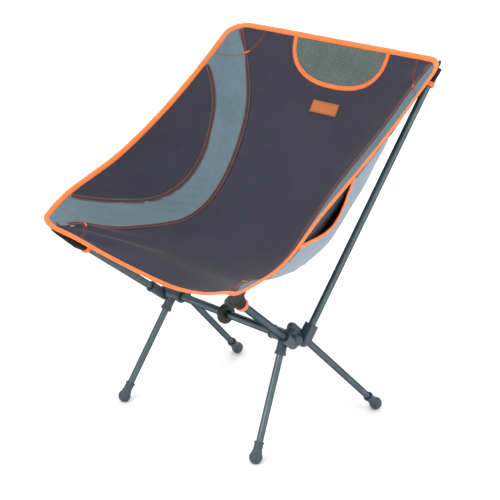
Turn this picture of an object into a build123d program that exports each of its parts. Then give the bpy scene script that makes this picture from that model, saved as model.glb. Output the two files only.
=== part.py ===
from build123d import *
import os
from math import cos, exp, log, pi, sin, sqrt, tan

# Ultralight knock-down camping chair: an aluminium pole frame joined by two
# moulded hubs, four sprung legs that pull out of the hubs, and a fabric
# sling whose four corner pockets sit on the pole tips.
# Frame: X across (the sitter's left is +X), front faces -Y, Z up, floor at Z = 0.
# The right half (+X) is modelled and the left half is its mirror image.
# Units are millimetres.

# ---------------------------------------------------------------- frame sizes
BAR_Y = -48.35           # the crossbar lies this far in front of the chair's middle
BAR_Z = 195.0            # crossbar axis above the floor
BAR_RADIUS = 7.25
BAR_END_X = 130.0        # crossbar's end, inside the hub
BAR_RIM_X = 113.0        # rim of the hub's crossbar socket
LEG_RADIUS = 6.0
SEAT_POLE_RADIUS = 6.75
BACK_POLE_RADIUS = 6.25
TUBE_WALL = 0.8
FIT = 0.05               # radial clearance of a tube in its socket

# Axes of the four tubes in each hub, as (x, y from the crossbar, z).
# Each starts at the socket's mouth and ends at the far end of the tube.
FRONT_LEG_MOUTH = (144.3, -13.4, 164.8)
FRONT_FOOT = (169.2, -96.9, 11.0)
REAR_LEG_MOUTH = (152.5, 46.1, 173.9)
REAR_FOOT = (178.3, 204.3, 11.0)
SEAT_POLE_MOUTH = (166.8, -29.0, 209.4)
SEAT_POLE_TIP = (196.3, -173.0, 326.3)
BACK_POLE_MOUTH = (167.8, 39.9, 212.0)
BACK_POLE_TIP = (217.4, 287.1, 621.2)

# How deep each tube goes into its socket.
FRONT_LEG_DEPTH = 31.0
REAR_LEG_DEPTH = 42.0
SEAT_POLE_DEPTH = 34.0
BACK_POLE_DEPTH = 30.0

# Feet
FOOT_BALL_RADIUS = 11.5
FOOT_NECK_RADIUS = 7.8
FOOT_LIP_RADIUS = 8.8
FOOT_NECK_TOP = 24.0     # along the leg, from the ball's centre
FOOT_LIP_TOP = 27.0
FOOT_BORE_FLOOR = 6.0    # the tube stops this far above the ball's centre

# Back pole joint
FERRULE_LENGTH = 70.0
BACK_JOINT = 262.0       # from the socket's mouth to the joint between the two tubes

# Crossbar collar
COLLAR_RADIUS = 18.5
COLLAR_WIDTH = 13.0

# Elastic cords inside the tubes
CORD_RADIUS = 1.4
KNOT_RADIUS = 3.2

# ---------------------------------------------------------------- sling sizes
# Points that the sling's side edge and its middle line pass through,
# front to top, as (x, y from the crossbar, z).
SIDE_EDGE = [(243, -209, 356), (262, -133, 389), (246, -30, 440),
             (243, 70, 498), (244, 165, 563), (246, 265, 641)]
MIDDLE_LINE = [(0, -132, 283), (0, -27, 299), (0, 67, 333),
               (0, 158, 412), (0, 247, 511), (0, 296, 634)]
# Exponent of the cross-section at four stations: low is a V, high a flat bottom.
FULLNESS = [1.5, 3.3, 3.0, 4.2]
TENT_HEIGHT = 4.0        # the fabric stands this much higher over the seat pole tips
TENT_SPREAD = 34.0
FABRIC = 1.2             # thickness of a fabric sheet as a solid
SEAM_GAP = 0.004         # half gap between two panels, as a share of the half width
BINDING_RADIUS = 4.2
BINDING_INSET_U = 0.028  # the panels stop this far inside the binding's line
BINDING_INSET_V = 0.013
CORNER_U = 0.12          # corner rounding, as shares of half width and of length
CORNER_V = 0.045
WING_START, WING_END = 0.20, 0.835
WING_DEPTH = 0.287       # how far the dark side wing reaches in from the edge
BLEND = 70.0             # sharpness where the wing's seam runs out at the edge

# Mesh window: a D hung from the top edge
WINDOW_HALF_WIDTH = 106.0
WINDOW_DROP = 73.0
WINDOW_BAND = 7.0        # width of the tape round it

# Corner pockets (front, top): length of the sleeve along the pole
FRONT_POCKET_LENGTH = 30.0
TOP_POCKET_LENGTH = 31.0
POCKET_WALL = 1.3
POCKET_SLACK = 1.5       # radial room between pole and pocket
TAPE = 1.1
TAPE_LENGTH = 8.0

# Side pockets: sewn outside each side, with a gaping mouth under the edge
POUCH_START, POUCH_END = 0.15, 0.74
POUCH_SWELL = 21.0
POUCH_LIFT = 4.0
POUCH_TAPE_RADIUS = 2.2

# Plain sewn label on the back
LABEL_WIDTH, LABEL_HEIGHT, LABEL_THICK = 62.0, 20.0, 0.8
LABEL_Z = 520.0


# ------------------------------------------------------------------- helpers
def at(point):
    """A point given from the crossbar, in the chair's frame."""
    x, y, z = point
    return Vector(x, BAR_Y + y, z)


def along(start, end, distance):
    """The point this far from start towards end."""
    return start + (end - start).normalized() * distance


def cylinder(start, end, radius):
    """A solid rod between two points."""
    base = Plane(origin=start, z_dir=(end - start))
    return base * Cylinder(radius, (end - start).length, align=(Align.CENTER, Align.CENTER, Align.MIN))


def tube(start, end, radius, wall=TUBE_WALL):
    """A hollow tube between two points."""
    return cylinder(start, end, radius) - cylinder(start, end, radius - wall)


def turned(start, end, profile):
    """A solid of revolution about the line from start to end; profile is (radius, distance) points."""
    plane = Plane(origin=start, z_dir=(end - start))
    outline = Polyline(*[(r, 0, d) for r, d in profile], close=True)
    return plane * revolve(make_face(outline), Axis.Z)


def curve_point(points, t):
    """A Catmull-Rom curve through points, at t from 0 to 1."""
    spans = len(points) - 1
    index = min(int(t * spans), spans - 1)
    f = t * spans - index
    p = [Vector(*q) for q in points]
    before = p[index - 1] if index > 0 else p[0] * 2 - p[1]
    after = p[index + 2] if index + 2 <= spans else p[-1] * 2 - p[-2]
    here, there = p[index], p[index + 1]
    return (here * 2 + (there - before) * f
            + (before * 2 - here * 5 + there * 4 - after) * f ** 2
            + (here * 3 - before - there * 3 + after) * f ** 3) * 0.5


def mix(values, t):
    """Linear interpolation in a list of evenly spaced values."""
    spans = len(values) - 1
    index = min(int(t * spans), spans - 1)
    f = t * spans - index
    return values[index] * (1 - f) + values[index + 1] * f


def sling_point(u, v):
    """The sling's middle surface: u from -1 to 1 across, v from 0 (front) to 1 (top)."""
    edge = curve_point(SIDE_EDGE, v)
    middle = curve_point(MIDDLE_LINE, v)
    share = abs(u) ** mix(FULLNESS, v)
    x, y, z = edge.X * u, middle.Y * (1 - share) + edge.Y * share, middle.Z * (1 - share) + edge.Z * share
    away = (abs(x) - SEAT_POLE_TIP[0]) ** 2 + (y - SEAT_POLE_TIP[1]) ** 2
    return at((x, y, z + TENT_HEIGHT * exp(-away / (2 * TENT_SPREAD ** 2))))


def sling_normal(u, v):
    """The surface's unit normal, pointing out of the bucket (down and back)."""
    step = 0.004
    across = sling_point(min(u + step, 1), v) - sling_point(max(u - step, -1), v)
    down = sling_point(u, min(v + step, 1)) - sling_point(u, max(v - step, 0))
    return down.cross(across).normalized()


def half_width(v):
    """Where the edge binding lies at v, as a share of the full half width: the corners are rounded."""
    near = min(v, 1 - v)
    if near >= CORNER_V:
        return 1.0
    return 1 - CORNER_U * (1 - sqrt(1 - (1 - near / CORNER_V) ** 2))


def seam_u(v):
    """The seam between the centre panel and the grey side panel."""
    return 0.94 - 0.46 * sin(pi * v ** 0.93) ** 0.9


def wing_u(v):
    """The seam between the grey side panel and the dark wing."""
    t = min(max((v - WING_START) / (WING_END - WING_START), 0), 1)
    return 1 - WING_DEPTH * sin(pi * t ** 0.9) ** 0.81


def sheet(inner, outer, v_start, v_end, rows, columns, lift=None):
    """A fabric panel as a thin solid between two seams, u = inner(v) to outer(v)."""
    def side(half):
        grid = []
        for row in range(rows + 1):
            v = v_start + (v_end - v_start) * row / rows
            low, high = inner(v), outer(v)
            line = []
            for column in range(columns + 1):
                b = column / columns
                u = low + (high - low) * b
                offset = half + (lift(row / rows, b) if lift else 0.0)
                line.append(sling_point(u, v) + sling_normal(u, v) * offset)
            grid.append(line)
        return Face.make_surface_from_array_of_points(grid, tol=0.2, min_deg=3, max_deg=3)

    outside, inside = side(FABRIC / 2), side(-FABRIC / 2)
    faces = [outside, inside]
    for edge in outside.edges():
        middle = edge @ 0.5
        partner = min(inside.edges(), key=lambda other: ((other @ 0.5) - middle).length)
        faces.append(Face.make_surface_from_curves(edge, partner))
    return Solid(Shell(faces))


def soft_path(points, close=False):
    """Straight runs joined by arcs as large as the runs allow."""
    count = len(points)
    corners = range(count) if close else range(1, count - 1)
    radii = []
    for k in corners:
        before, after = points[k] - points[k - 1], points[(k + 1) % count] - points[k]
        turn = before.get_angle(after) * pi / 180
        radii.append(0.45 * min(before.length, after.length) / tan(turn / 2))
    return FilletPolyline(*points, radius=radii, close=close)


def piping(path, radius):
    """A round tape of this radius along a path."""
    return sweep(Plane(origin=path @ 0, z_dir=path % 0) * Circle(radius), path=path)


def export(name, shape):
    """Write one node."""
    export_step(shape, f"parts/{name}.step")


def export_pair(name, shape):
    """Write the right-hand piece and its mirror image."""
    export(f"right_{name}", shape)
    export(f"left_{name}", mirror(shape, about=Plane.YZ))


# ---------------------------------------------------------------------- hubs
class Socket:
    """One blind socket of a hub: the tube's axis, mouth, depth and sizes."""

    def __init__(self, mouth, far_end, depth, tube_radius, body_radius, dome_depth):
        self.mouth = at(mouth)
        self.far_end = at(far_end)
        self.floor = along(self.mouth, self.far_end, -depth)
        self.dome = along(self.mouth, self.far_end, -dome_depth)
        self.tube_radius = tube_radius
        self.body_radius = body_radius

    def body(self):
        return cylinder(self.dome, self.mouth, self.body_radius) + Pos(*self.dome) * Sphere(self.body_radius)

    def lip(self, extra, length):
        return cylinder(along(self.mouth, self.far_end, -length), self.mouth, self.body_radius + extra)

    def bore(self):
        mouth = along(self.mouth, self.far_end, 12)
        return cylinder(self.floor, mouth, self.tube_radius + FIT)


BAR_SOCKET = Socket((BAR_RIM_X, 0, BAR_Z), (0, 0, BAR_Z), BAR_END_X - BAR_RIM_X, BAR_RADIUS, 11.2, 30.0)
FRONT_LEG = Socket(FRONT_LEG_MOUTH, FRONT_FOOT, FRONT_LEG_DEPTH, LEG_RADIUS, 8.8, 34.0)
REAR_LEG = Socket(REAR_LEG_MOUTH, REAR_FOOT, REAR_LEG_DEPTH, LEG_RADIUS, 9.0, 48.0)
SEAT_POLE = Socket(SEAT_POLE_MOUTH, SEAT_POLE_TIP, SEAT_POLE_DEPTH, SEAT_POLE_RADIUS, 9.6, 38.0)
BACK_POLE = Socket(BACK_POLE_MOUTH, BACK_POLE_TIP, BACK_POLE_DEPTH, BACK_POLE_RADIUS, 9.2, 33.0)


def hub():
    """One moulded hub: five sleeves round a core, a ribbed square back pole socket and a recess."""
    core = Pos(*at((151, 9, 195))) * Sphere(16.0)
    body = core + Pos(*at((162, 6, 192))) * Sphere(12.0)
    for socket in (BAR_SOCKET, FRONT_LEG, REAR_LEG, SEAT_POLE, BACK_POLE):
        body += socket.body()
    body += BAR_SOCKET.lip(0.9, 4.0) + FRONT_LEG.lip(1.2, 5.0) + REAR_LEG.lip(0.9, 4.0) + SEAT_POLE.lip(0.9, 4.0)
    square = Plane(origin=BACK_POLE.floor, x_dir=(1, 0, 0), z_dir=BACK_POLE.mouth - BACK_POLE.floor)
    block = square * Box(18.6, 18.6, BACK_POLE_DEPTH, align=(Align.CENTER, Align.CENTER, Align.MIN))
    body += fillet(block.edges().filter_by(lambda edge: edge.length > BACK_POLE_DEPTH - 1), 2.5)
    for side in (-1, 0, 1):
        rib = Box(1.2, 20.0, BACK_POLE_DEPTH - 8, align=(Align.CENTER, Align.CENTER, Align.MIN))
        body += square * Pos(side * 4.5, 0, 4) * rib
    recess = Plane(origin=at((171, 9, 205)), x_dir=(1, 0, 0), z_dir=(0, 1, 1)) * Box(14, 8, 8)
    body -= recess
    for socket in (BAR_SOCKET, FRONT_LEG, REAR_LEG, SEAT_POLE, BACK_POLE):
        body -= socket.bore()
    return body


# ---------------------------------------------------------------------- legs
def foot(socket):
    """A ball foot with a lipped neck, cut flat where it meets the floor."""
    centre, top = socket.far_end, socket.mouth
    neck_start = sqrt(FOOT_BALL_RADIUS ** 2 - FOOT_NECK_RADIUS ** 2)
    neck = turned(centre, top, [(0, 0), (FOOT_NECK_RADIUS + 2.2, 0), (FOOT_NECK_RADIUS + 1.4, neck_start),
                                (FOOT_NECK_RADIUS, neck_start + 5), (FOOT_NECK_RADIUS, FOOT_NECK_TOP),
                                (FOOT_LIP_RADIUS, FOOT_NECK_TOP), (FOOT_LIP_RADIUS, FOOT_LIP_TOP),
                                (0, FOOT_LIP_TOP)])
    body = Pos(*centre) * Sphere(FOOT_BALL_RADIUS) + neck
    body -= cylinder(along(centre, top, FOOT_BORE_FLOOR), along(centre, top, FOOT_LIP_TOP + 5), LEG_RADIUS + FIT)
    below = Box(60, 60, 40, align=(Align.CENTER, Align.CENTER, Align.MAX))
    return body - Pos(centre.X, centre.Y, 0) * below


def leg_tube(socket):
    """The leg's tube, from the socket's floor to the foot; the plug's flange takes the last 2 mm."""
    top = along(socket.floor, socket.far_end, 2)
    bottom = along(socket.far_end, socket.mouth, FOOT_BORE_FLOOR)
    return tube(top, bottom, LEG_RADIUS)


def leg_plug(socket):
    """A small nylon plug in the tube's upper end, drilled for the cord."""
    inner = LEG_RADIUS - TUBE_WALL - FIT
    cord_hole = CORD_RADIUS + 0.3
    return turned(socket.floor, socket.far_end, [(cord_hole, 0), (LEG_RADIUS - 0.4, 0), (LEG_RADIUS, 0.8),
                                                 (LEG_RADIUS, 2), (inner, 2), (inner, 11), (cord_hole, 11)])


def leg_cord(socket):
    """The elastic cord from the hub to a knot above the foot."""
    knot = along(socket.far_end, socket.mouth, FOOT_BORE_FLOOR + KNOT_RADIUS + 0.5)
    return cylinder(socket.floor, knot, CORD_RADIUS) + Pos(*knot) * Sphere(KNOT_RADIUS)


# --------------------------------------------------------------------- poles
def pole_cord(socket):
    """The elastic cord inside a seat or back pole, knotted below the tip cap."""
    knot = along(socket.far_end, socket.mouth, 18)
    return cylinder(socket.floor, knot, CORD_RADIUS) + Pos(*knot) * Sphere(KNOT_RADIUS)


def tip_cap(socket):
    """A rounded plastic cap plugged into the pole's end."""
    radius, inner = socket.tube_radius, socket.tube_radius - TUBE_WALL - FIT
    start = along(socket.far_end, socket.mouth, 14)
    return turned(start, socket.far_end, [(0, 0), (inner, 0), (inner, 8), (radius + 0.5, 8), (radius + 0.5, 11),
                                          (radius - 0.6, 13.2), (radius - 3, 14), (0, 14)])


def corner_pocket(socket, length, lean):
    """A closed fabric sleeve over a pole tip; lean widens its mouth."""
    inner = socket.tube_radius + POCKET_SLACK
    mouth = along(socket.far_end, socket.mouth, length)
    closed = length + 1.0
    return turned(mouth, socket.far_end, [(inner + lean, 0), (inner, length * 0.5), (inner, closed),
                                          (0, closed), (0, closed + POCKET_WALL),
                                          (inner + POCKET_WALL - 1.5, closed + POCKET_WALL),
                                          (inner + POCKET_WALL, closed - 1), (inner + POCKET_WALL, length * 0.5),
                                          (inner + POCKET_WALL + lean, 0)])


def pocket_tape(socket, length, lean):
    """The bound mouth of a corner pocket."""
    inner = socket.tube_radius + POCKET_SLACK + POCKET_WALL + lean + 0.15
    mouth = along(socket.far_end, socket.mouth, length + 1.0)
    return turned(mouth, socket.far_end, [(inner, 0), (inner + TAPE, 0), (inner + TAPE, TAPE_LENGTH),
                                          (inner, TAPE_LENGTH)])


# --------------------------------------------------------------------- sling
def window_outline(margin):
    """The D of the mesh window, seen square on, grown by margin."""
    top = 700.0
    half, drop = WINDOW_HALF_WIDTH + margin, WINDOW_DROP + margin
    rim = MIDDLE_LINE[-1][2]
    straight = rim - drop * 0.30
    d_shape = Polyline((-half, straight), (-half * 1.02, top), (half * 1.02, top), (half, straight))
    d_curve = Spline((half, straight), (half * 0.62, rim - drop * 0.86), (0, rim - drop),
                     (-half * 0.62, rim - drop * 0.86), (-half, straight),
                     tangents=[(-0.1, -1), (-0.1, 1)])
    return make_face([d_shape, d_curve])


def window_prism(margin):
    """The D carried through the back, front to rear."""
    face = Plane(origin=(0, BAR_Y + 150, 0), x_dir=(1, 0, 0), z_dir=(0, -1, 0)) * window_outline(margin)
    return extrude(face, -220)


def centre_sheet():
    """Seat and back in one panel, between the two grey seams."""
    def side(v):
        return min(seam_u(v) - SEAM_GAP, half_width(v) - BINDING_INSET_U)
    return sheet(lambda v: -side(v), side, BINDING_INSET_V, 1 - BINDING_INSET_V, 44, 24)


def side_sheet():
    """The grey boomerang panel between the centre panel and the wing or edge."""
    def inner(v):
        return seam_u(v) + SEAM_GAP

    def outer(v):
        wing, edge = wing_u(v) - SEAM_GAP, half_width(v) - BINDING_INSET_U
        return -log(exp(-BLEND * wing) + exp(-BLEND * edge)) / BLEND
    return sheet(inner, outer, 0.035, 0.955, 44, 8)


def wing_sheet():
    """The dark wing under the edge."""
    start, end = WING_START + 0.02, WING_END - 0.015
    return sheet(lambda v: wing_u(v) + SEAM_GAP, lambda v: 1 - BINDING_INSET_U, start, end, 30, 8)


def pouch_lift(a, b):
    """How far the side pocket stands off the panel: a along, b from the bottom seam to the mouth."""
    return POUCH_LIFT + POUCH_SWELL * sin(pi * a) * sin(pi * min(b * 0.62, 0.5))


def pouch_low(v):
    return seam_u(v) + 0.03


def pouch_high(v):
    """The pocket's upper edge: sewn under the binding at its ends, dropped at the mouth."""
    t = (v - POUCH_START) / (POUCH_END - POUCH_START)
    return 0.955 - 0.06 * max(0.0, sin(pi * min(t / 0.62, 1))) ** 1.5


def pouch_sheet():
    return sheet(pouch_low, pouch_high, POUCH_START, POUCH_END, 30, 10, pouch_lift)


def pouch_tape():
    """The bound mouth of the side pocket, just above the sheet's upper edge."""
    points = []
    for k in range(11):
        a = 0.04 + 0.60 * k / 10
        v = POUCH_START + (POUCH_END - POUCH_START) * a
        u = pouch_high(v)
        up = (sling_point(u + 0.02, v) - sling_point(u - 0.02, v)).normalized()
        lift = sling_normal(u, v) * pouch_lift(a, 1.0)
        points.append(sling_point(u, v) + lift + up * (POUCH_TAPE_RADIUS + 1.4))
    return piping(soft_path(points), POUCH_TAPE_RADIUS)


def edge_points():
    """The closed line of the edge binding, from the middle of the front edge round the right side."""
    across = [0.0, 0.22, 0.43, 0.62, 0.77]
    corner = [CORNER_V * (1 - cos(angle)) for angle in (0.0, 0.75, 1.2)]
    side = [0.075 + 0.085 * k for k in range(11)]
    right = [(u, 0.0) for u in across]
    right += [(half_width(v), v) for v in corner + side + [1 - v for v in reversed(corner)]]
    right += [(u, 1.0) for u in reversed(across)]
    left = [(-u, v) for u, v in reversed(right) if u > 0]
    return [sling_point(u, v) for u, v in right + left]


def window_tape():
    """The tape round the D: a ring between the window and the centre panel."""
    return window_prism(WINDOW_BAND) - window_prism(0.0)


def label():
    """A plain rectangular sewn label, in front of the back panel."""
    best = min((abs(curve_point(MIDDLE_LINE, k / 400).Z - LABEL_Z), k / 400) for k in range(400))[1]
    place = sling_point(0.0, best)
    normal = sling_normal(0.0, best)
    plane = Plane(origin=place - normal * (FABRIC / 2 + 0.9 + LABEL_THICK / 2), x_dir=(1, 0, 0), z_dir=normal)
    return plane * Box(LABEL_WIDTH, LABEL_HEIGHT, LABEL_THICK)


# -------------------------------------------------------------------- output
def write_frame():
    export_pair("hub", hub())
    bar_start, bar_end = at((-BAR_END_X, 0, BAR_Z)), at((BAR_END_X, 0, BAR_Z))
    export("crossbar", tube(bar_start, bar_end, BAR_RADIUS))
    collar = turned(at((-COLLAR_WIDTH / 2, 0, BAR_Z)), bar_end,
                    [(BAR_RADIUS + FIT, 0), (COLLAR_RADIUS - 3, 0), (COLLAR_RADIUS, 3),
                     (COLLAR_RADIUS, COLLAR_WIDTH - 3), (COLLAR_RADIUS - 3, COLLAR_WIDTH),
                     (BAR_RADIUS + FIT, COLLAR_WIDTH)])
    export("crossbar_collar", collar)
    export("crossbar_shock_cord", cylinder(bar_start, bar_end, CORD_RADIUS))

    for name, socket in (("front", FRONT_LEG), ("rear", REAR_LEG)):
        export_pair(f"{name}_leg", leg_tube(socket))
        export_pair(f"{name}_foot", foot(socket))
        export_pair(f"{name}_leg_plug", leg_plug(socket))
    cords = [leg_cord(FRONT_LEG), leg_cord(REAR_LEG)]
    export("leg_shock_cords", Compound(cords + [mirror(cord, about=Plane.YZ) for cord in cords]))

    cap_seat = 6.0       # the cap's flange covers this much of the pole's end
    seat_end = along(SEAT_POLE.far_end, SEAT_POLE.mouth, cap_seat)
    export_pair("seat_pole", tube(SEAT_POLE.floor, seat_end, SEAT_POLE_RADIUS))
    export_pair("seat_pole_cap", tip_cap(SEAT_POLE))
    joint = along(BACK_POLE.mouth, BACK_POLE.far_end, BACK_JOINT)
    back_end = along(BACK_POLE.far_end, BACK_POLE.mouth, cap_seat)
    export_pair("lower_back_pole", tube(BACK_POLE.floor, joint, BACK_POLE_RADIUS))
    export_pair("upper_back_pole", tube(joint, back_end, BACK_POLE_RADIUS))
    half = FERRULE_LENGTH / 2
    sleeve = tube(along(joint, BACK_POLE.mouth, half), along(joint, BACK_POLE.far_end, half),
                  BACK_POLE_RADIUS - TUBE_WALL - FIT)
    export_pair("back_pole_ferrule", sleeve)
    export_pair("back_pole_cap", tip_cap(BACK_POLE))
    for name, socket in (("seat", SEAT_POLE), ("back", BACK_POLE)):
        cord = pole_cord(socket)
        export(f"{name}_pole_shock_cords", Compound([cord, mirror(cord, about=Plane.YZ)]))


def write_sling():
    back = centre_sheet()
    export("centre_panel", back - window_prism(WINDOW_BAND + 0.4))
    export("mesh_panel", back & window_prism(-0.4))
    export("mesh_binding", back & window_tape())
    export_pair("side_panel", side_sheet())
    export_pair("wing_panel", wing_sheet())
    export("edge_binding", piping(soft_path(edge_points(), close=True), BINDING_RADIUS))
    export_pair("front_corner_pocket", corner_pocket(SEAT_POLE, FRONT_POCKET_LENGTH, 1.0))
    export_pair("front_pocket_tape", pocket_tape(SEAT_POLE, FRONT_POCKET_LENGTH, 1.0))
    export_pair("top_corner_pocket", corner_pocket(BACK_POLE, TOP_POCKET_LENGTH, 1.0))
    export_pair("top_pocket_tape", pocket_tape(BACK_POLE, TOP_POCKET_LENGTH, 1.0))
    export_pair("side_pocket", pouch_sheet())
    export_pair("side_pocket_tape", pouch_tape())
    export("back_label", label())


os.makedirs("parts", exist_ok=True)
write_frame()
write_sling()
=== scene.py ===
"""Ultralight knock-down camping chair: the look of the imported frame.

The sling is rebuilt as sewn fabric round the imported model: panels, felled seams,
stitches, folded binding, knitted mesh and sleeves. Tubes, hubs and feet keep the
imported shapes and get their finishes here. Units are metres.
"""

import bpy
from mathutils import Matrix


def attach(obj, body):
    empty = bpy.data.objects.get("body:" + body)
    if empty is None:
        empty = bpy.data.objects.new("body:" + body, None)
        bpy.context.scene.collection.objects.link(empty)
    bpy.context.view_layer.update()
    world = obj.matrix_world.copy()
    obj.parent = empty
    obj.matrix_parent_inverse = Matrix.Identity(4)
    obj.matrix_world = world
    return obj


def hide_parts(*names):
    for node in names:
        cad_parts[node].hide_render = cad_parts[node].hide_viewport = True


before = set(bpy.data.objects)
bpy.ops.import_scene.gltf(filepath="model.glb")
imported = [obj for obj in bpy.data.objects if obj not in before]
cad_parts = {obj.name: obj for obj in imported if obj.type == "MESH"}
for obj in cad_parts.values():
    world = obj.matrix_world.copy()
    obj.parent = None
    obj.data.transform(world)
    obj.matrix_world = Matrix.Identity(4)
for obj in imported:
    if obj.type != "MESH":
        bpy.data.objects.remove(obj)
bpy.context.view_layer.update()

import logging
from dataclasses import dataclass
from enum import Enum
from typing import Callable, ClassVar, Iterable, Sequence

import bpy
import numpy as np
from mathutils import Vector

LOG = logging.getLogger("chair")
MM = 0.001
TAU = 2 * np.pi
# A seam's place: u for each v.
SeamLine = Callable[[np.ndarray], np.ndarray]


# ------------------------------------------------------------------ small tools
def linear(code: str) -> tuple[float, float, float, float]:
    """Turn an sRGB hex colour into linear light.

    Args:
        code: colour as "#rrggbb".

    Returns:
        Red, green, blue and alpha, each from 0 to 1.
    """
    srgb = np.array([int(code[i:i + 2], 16) for i in (1, 3, 5)]) / 255
    value = np.where(srgb <= 0.04045, srgb / 12.92, ((srgb + 0.055) / 1.055) ** 2.4)
    return (*map(float, value), 1.0)


def add(tree: bpy.types.NodeTree, kind: str, settings: dict | None = None,
        links: dict | None = None) -> bpy.types.Node:
    """Add one node to a material.

    Args:
        tree: the material's node tree.
        kind: the node's type.
        settings: sockets or attributes of the node and their values.
        links: sockets of the node and the outputs that feed them.

    Returns:
        The new node.
    """
    node = tree.nodes.new(kind)
    for key, value in (settings or {}).items():
        if not isinstance(key, int) and hasattr(node, key):
            setattr(node, key, value)
        else:
            node.inputs[key].default_value = value
    for key, source in (links or {}).items():
        tree.links.new(source, node.inputs[key])
    return node


def shade(ramp: bpy.types.Node, *stops: tuple[float, str]) -> None:
    """Set the two stops of a colour ramp.

    Args:
        ramp: the ramp's node.
        stops: each stop's position and its colour as "#rrggbb".
    """
    for element, (position, code) in zip(ramp.color_ramp.elements, stops):
        element.position = position
        element.color = linear(code)


def unit(vectors: np.ndarray) -> np.ndarray:
    """Scale vectors to length one."""
    return vectors / np.maximum(np.linalg.norm(vectors, axis=-1, keepdims=True), 1e-12)


def smooth(x: np.ndarray) -> np.ndarray:
    """A smooth step from 0 to 1 as x goes from 0 to 1."""
    t = np.clip(x, 0, 1)
    return t * t * (3 - 2 * t)


def hump(x: np.ndarray, centre: float, spread: float) -> np.ndarray:
    """A bell of height one round centre."""
    return np.exp(-((x - centre) / spread) ** 2)


# ------------------------------------------------------------------- finishes
class Weave(Enum):
    """How a cloth's threads run."""

    PLAIN = "plain"
    RIBBED = "ribbed"


@dataclass(frozen=True)
class Cloth:
    """A woven cloth or tape, read from the piece's own UV map in metres.

    Threads are drawn at the pitch given, which is coarser than the real 0.4 mm
    so that they show.
    """

    name: str
    dark: str
    light: str
    pitch_mm: float = 1.5
    weave: Weave = Weave.PLAIN
    roughness: float = 0.78
    sheen: float = 0.25
    relief_mm: float = 0.25
    mottle: float = 9.0

    def material(self) -> bpy.types.Material:
        """Build the material.

        Returns:
            The new material.
        """
        mat = bpy.data.materials.new(self.name)
        mat.use_nodes = True
        tree = mat.node_tree
        tree.nodes.clear()
        uv = add(tree, "ShaderNodeUVMap", {"uv_map": "weave"}).outputs["UV"]
        scale = TAU / (20 * self.pitch_mm * MM)
        warp = add(tree, "ShaderNodeTexWave", {"bands_direction": "X", "Scale": scale, "Distortion": 0.5,
                                               "Detail": 1.0, "Detail Scale": 2.0}, {"Vector": uv})
        weft = add(tree, "ShaderNodeTexWave", {"bands_direction": "Y", "Scale": scale, "Distortion": 0.5,
                                               "Detail": 1.0, "Detail Scale": 2.0}, {"Vector": uv})
        if self.weave is Weave.PLAIN:
            height = add(tree, "ShaderNodeMath", {"operation": "MULTIPLY"},
                         {0: warp.outputs["Fac"], 1: weft.outputs["Fac"]}).outputs[0]
        else:
            height = weft.outputs["Fac"]
        stretch = add(tree, "ShaderNodeMapping", {"Scale": (1.0, 0.12, 1.0)}, {"Vector": uv})
        slub = add(tree, "ShaderNodeTexNoise", {"Scale": 520.0, "Detail": 3.0, "Roughness": 0.6},
                   {"Vector": stretch.outputs[0]})
        cloud = add(tree, "ShaderNodeTexNoise", {"Scale": self.mottle, "Detail": 4.0, "Roughness": 0.55},
                    {"Vector": uv})
        part = add(tree, "ShaderNodeMath", {"operation": "MULTIPLY_ADD", 1: 0.35, 2: 0.10},
                   {0: height}).outputs[0]
        more = add(tree, "ShaderNodeMath", {"operation": "MULTIPLY_ADD", 1: 0.45},
                   {0: slub.outputs["Fac"], 2: part}).outputs[0]
        tone = add(tree, "ShaderNodeMath", {"operation": "MULTIPLY_ADD", 1: 0.35},
                   {0: cloud.outputs["Fac"], 2: more}).outputs[0]
        ramp = add(tree, "ShaderNodeValToRGB", None, {"Fac": tone})
        shade(ramp, (0.25, self.dark), (0.80, self.light))
        rough = add(tree, "ShaderNodeMapRange",
                    {"To Min": self.roughness - 0.06, "To Max": self.roughness + 0.08},
                    {"Value": slub.outputs["Fac"]})
        bump = add(tree, "ShaderNodeBump", {"Strength": 0.55, "Distance": self.relief_mm * MM},
                   {"Height": height})
        shader = add(tree, "ShaderNodeBsdfPrincipled",
                     {"Sheen Weight": self.sheen, "Sheen Roughness": 0.45, "Specular IOR Level": 0.3},
                     {"Base Color": ramp.outputs["Color"], "Roughness": rough.outputs[0],
                      "Normal": bump.outputs["Normal"]})
        add(tree, "ShaderNodeOutputMaterial", None, {"Surface": shader.outputs[0]})
        return mat


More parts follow.
